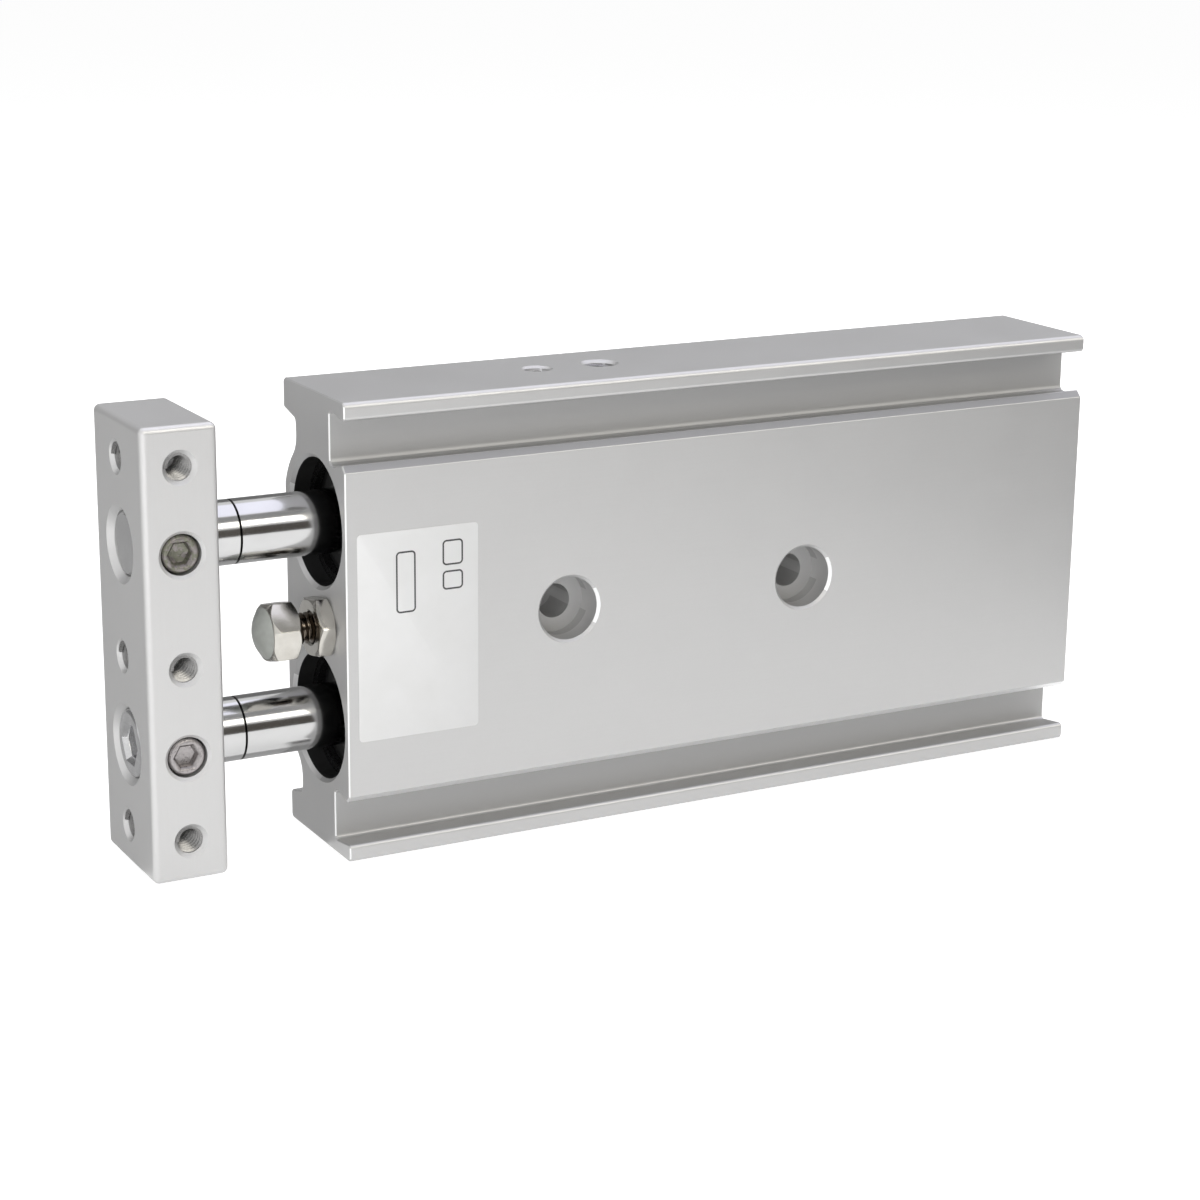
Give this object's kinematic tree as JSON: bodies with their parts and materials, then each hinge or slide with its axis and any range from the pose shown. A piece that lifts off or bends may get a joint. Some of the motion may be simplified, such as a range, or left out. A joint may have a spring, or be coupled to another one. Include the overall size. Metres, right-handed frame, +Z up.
{
  "type": "guided pneumatic cylinder",
  "caption": "Flat twin-rod pneumatic cylinder: an extruded housing guides parallel chromed rods that carry an end plate, with an adjustable bumper bolt between them.",
  "frame": {"origin": "centre of the whole object's box, on the surface that it stands on", "axes": "+X along the rods from the end plate to the housing's rear, +Y from the near wide face to the far one, +Z up across both bores"},
  "size_m": [0.135, 0.019, 0.058],
  "materials": {
    "anodised_extrusion": "satin anodised",
    "milled_aluminium": "satin anodised, fine blasted",
    "inner_aluminium": "turned",
    "black_aluminium": "black hard anodised",
    "hard_chrome": "hard chrome, ground",
    "nickel_steel": "nickel plated",
    "bright_screw": "zinc plated",
    "socket_steel": "worn steel",
    "plain_steel": "plain steel",
    "black_spring_steel": "phosphated black",
    "urethane": "translucent urethane",
    "black_rubber": "nitrile rubber",
    "black_magnet": "bonded magnet",
    "sintered_bronze": "sintered bronze"
  },
  "bodies": {
    "cylinder_body": {"cover_o_ring_lower": "black_rubber", "cover_o_ring_upper": "black_rubber", "duct_balls": "nickel_steel", "front_retaining_ring_lower": "black_spring_steel", "front_retaining_ring_upper": "black_spring_steel", "head_bumper_lower": "urethane", "head_bumper_upper": "urethane", "head_cover_lower": "inner_aluminium", "head_cover_upper": "inner_aluminium", "head_o_ring_lower": "black_rubber", "head_o_ring_upper": "black_rubber", "housing": "anodised_extrusion", "lock_nut": "nickel_steel", "port_plug": "socket_steel", "rear_retaining_ring_lower": "black_spring_steel", "rear_retaining_ring_upper": "black_spring_steel", "rod_bumper_lower": "urethane", "rod_bumper_upper": "urethane", "rod_bush_lower": "sintered_bronze", "rod_bush_upper": "sintered_bronze", "rod_cover_lower": "black_aluminium", "rod_cover_upper": "black_aluminium", "rod_seal_lower": "black_rubber", "rod_seal_upper": "black_rubber"},
    "rod_carriage": {"end_plate": "milled_aluminium", "plate_screw": "bright_screw", "set_screw_upper": "socket_steel", "set_screw_lower": "socket_steel", "piston_rod_upper": "hard_chrome", "piston_upper": "inner_aluminium", "piston_seal_upper": "black_rubber", "piston_magnet_upper": "black_magnet", "piston_nut_upper": "plain_steel", "piston_rod_lower": "hard_chrome", "piston_lower": "inner_aluminium", "piston_seal_lower": "black_rubber", "piston_magnet_lower": "black_magnet", "piston_nut_lower": "plain_steel"},
    "bumper_screw": {"bumper_bolt": "nickel_steel", "bumper_pad": "urethane"}
  },
  "joints": [
    {"name": "carriage_slide", "type": "slide", "parent": "cylinder_body", "child": "rod_carriage", "axis": [-1, 0, 0], "range_m": [-0.006, 0.044]},
    {"name": "bumper_adjust", "type": "slide", "parent": "cylinder_body", "child": "bumper_screw", "axis": [-1, 0, 0], "range_m": [-0.0022, 0]}
  ]
}
